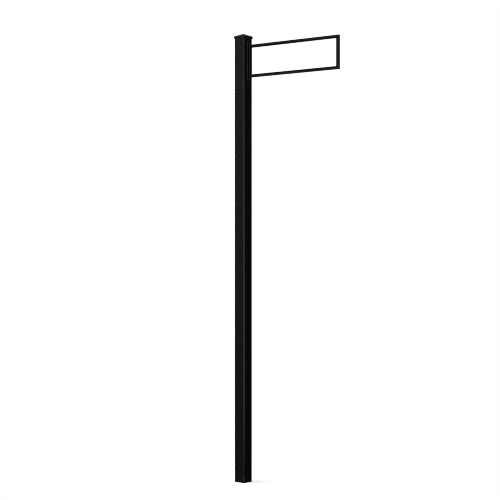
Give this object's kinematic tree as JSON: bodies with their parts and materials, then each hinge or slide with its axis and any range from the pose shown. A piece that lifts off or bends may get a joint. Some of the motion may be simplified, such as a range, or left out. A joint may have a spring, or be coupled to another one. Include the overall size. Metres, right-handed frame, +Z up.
{
  "type": "sign post with open sign frame",
  "caption": "Tall square post with a slip-over pyramid cap and an open rectangular sign frame on a screwed mounting plate near its top.",
  "frame": {"origin": "centre of the post tube's cut lower end", "axes": "+Z up along the post, +X from the post out along the sign frame, +Y across the frame"},
  "size_m": [1.032, 0.1096, 3.6576],
  "materials": {
    "post_coat": "smooth black powder coat, semi-gloss",
    "cap_coat": "smooth black powder coat over a cast cap, semi-gloss",
    "frame_coat": "smooth black powder coat, semi-gloss",
    "screw": "black coated stainless steel, satin",
    "channel": "black extruded plastic, matte"
  },
  "bodies": {
    "root": {"post_tube": "post_coat", "post_cap": "cap_coat", "mounting_plate": "frame_coat", "plate_screw_upper": "screw", "plate_screw_lower": "screw", "frame_rail_upper": "frame_coat", "frame_rail_lower": "frame_coat", "frame_stile_inner": "frame_coat", "frame_stile_outer": "frame_coat", "blade_channel_upper": "channel", "blade_channel_lower": "channel", "blade_channel_inner": "channel", "blade_channel_outer": "channel"}
  },
  "joints": []
}
